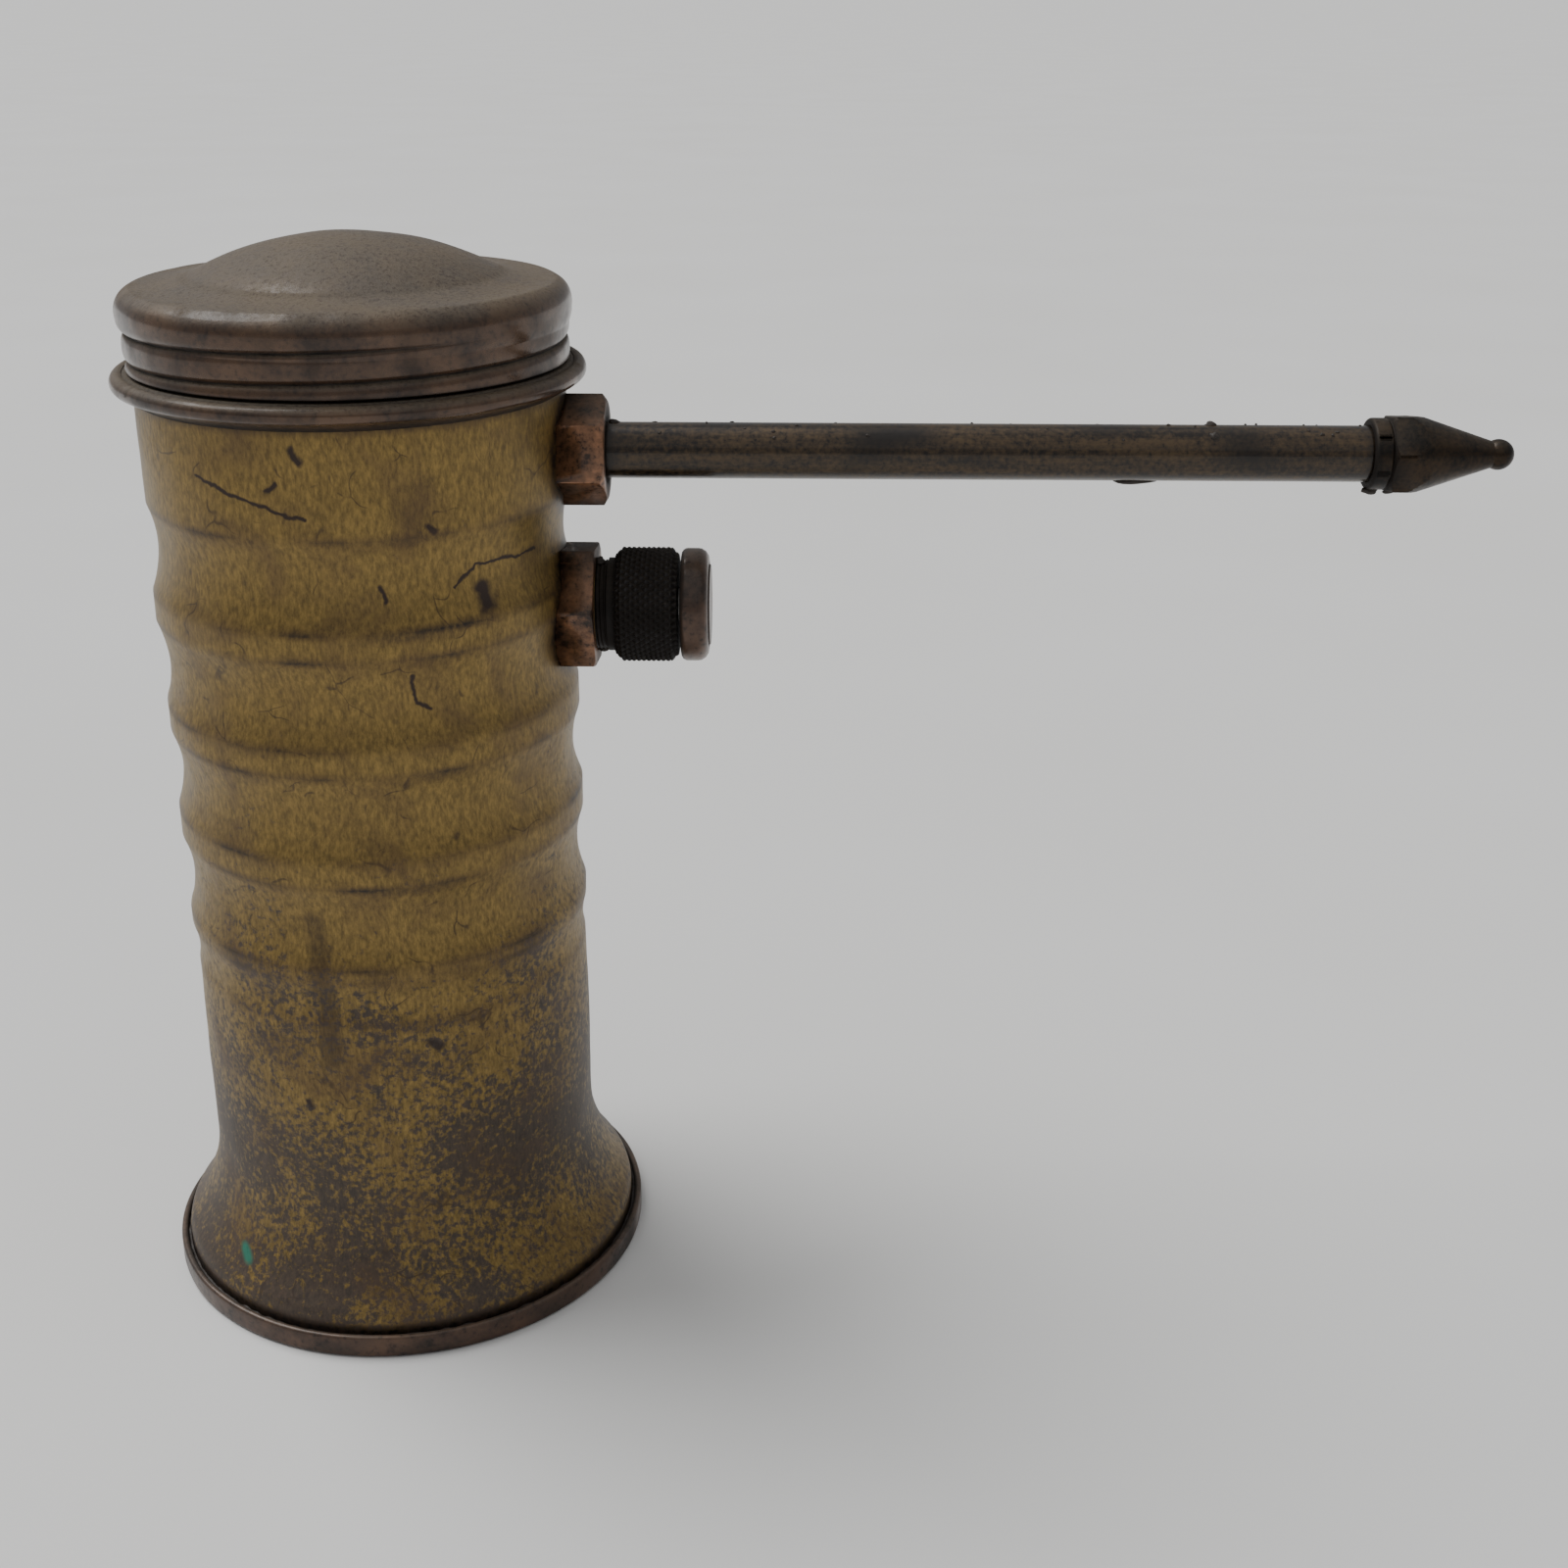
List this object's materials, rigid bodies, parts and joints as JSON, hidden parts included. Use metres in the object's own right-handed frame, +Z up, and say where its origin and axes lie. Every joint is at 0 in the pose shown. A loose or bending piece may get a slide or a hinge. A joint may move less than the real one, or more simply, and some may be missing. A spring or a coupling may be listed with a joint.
{
  "type": "thumb pump oil gun",
  "caption": "Hand-held brass oil gun: ribbed round reservoir with a domed screw cap, a long straight side spout and, below it, a thumb button that works a plunger pump.",
  "frame": {"origin": "middle of the flat underside, on the reservoir's axis", "axes": "+Z up along the reservoir, +X along the spout towards its nozzle"},
  "size_m": [0.1614, 0.06, 0.1274],
  "materials": {
    "aged_brass": "dull, brown patina",
    "aged_copper": "dull copper brown",
    "patinated_bronze": "satin, dark patina",
    "turned_brass": "turned, oily",
    "oiled_dark_brass": "drawn, oily",
    "blackened_brass": "blackened",
    "ground_steel": "ground",
    "spring_steel": "drawn wire",
    "ball_steel": "polished",
    "oiled_leather": "oiled",
    "cork": "cork",
    "greased_cord": "greased"
  },
  "bodies": {
    "reservoir": {"reservoir_shell": "aged_brass", "base_pan": "aged_copper", "neck_collar": "patinated_bronze", "spout_nut": "patinated_bronze", "spout_neck": "turned_brass", "spout_seal": "oiled_leather", "spout_lock_nut": "turned_brass", "spout_tube": "oiled_dark_brass", "nozzle_tip": "blackened_brass", "pump_barrel": "turned_brass", "barrel_nut": "patinated_bronze", "barrel_seal": "oiled_leather", "barrel_end_plug": "turned_brass", "rod_guide": "turned_brass", "packing_rings": "greased_cord", "gland_follower": "turned_brass", "return_spring": "spring_steel", "inlet_valve_body": "turned_brass", "ball_retaining_pin": "turned_brass", "outlet_valve_body": "turned_brass", "outlet_spring": "spring_steel", "delivery_pipe": "turned_brass", "suction_tube": "turned_brass", "strainer": "turned_brass"},
    "plunger": {"plunger_rod": "ground_steel", "plunger_button": "aged_copper", "piston_nut": "turned_brass", "piston_washers": "turned_brass", "piston_cup": "oiled_leather"},
    "cap_seal": {"cap_gasket": "cork"},
    "cap": {"filler_cap": "patinated_bronze"},
    "gland": {"gland_nut": "blackened_brass"},
    "inlet_check": {"inlet_ball": "ball_steel"},
    "outlet_check": {"outlet_ball": "ball_steel"}
  },
  "joints": [
    {"name": "plunger_slide", "type": "slide", "parent": "reservoir", "child": "plunger", "axis": [1, 0, 0], "range_m": [0, 0.01], "stiffness_N_per_m": 60, "springref_m": 0.015, "deforming": ["return_spring"]},
    {"name": "cap_rise", "type": "slide", "parent": "reservoir", "child": "cap_seal", "axis": [0, 0, 1], "range_m": [0, 0.00424]},
    {"name": "cap_turn", "type": "hinge", "parent": "cap_seal", "child": "cap", "pos_m": [0, 0, 0.12], "axis": [0, 0, 1], "range_deg": [0, 480]},
    {"name": "gland_turn", "type": "hinge", "parent": "reservoir", "child": "gland", "pos_m": [0.0323, 0, 0.08495], "axis": [1, 0, 0], "range_deg": [0, 120]},
    {"name": "inlet_ball_lift", "type": "slide", "parent": "reservoir", "child": "inlet_check", "axis": [0, 0, 1], "range_m": [0, 0.001]},
    {"name": "outlet_ball_lift", "type": "slide", "parent": "reservoir", "child": "outlet_check", "axis": [0, 0, 1], "range_m": [0, 0.001], "stiffness_N_per_m": 20, "springref_m": -0.002, "deforming": ["outlet_spring"]}
  ],
  "couplings": [
    {"joint": "cap_rise", "follows": "cap_turn", "m_per_rad": 0.00050532}
  ]
}
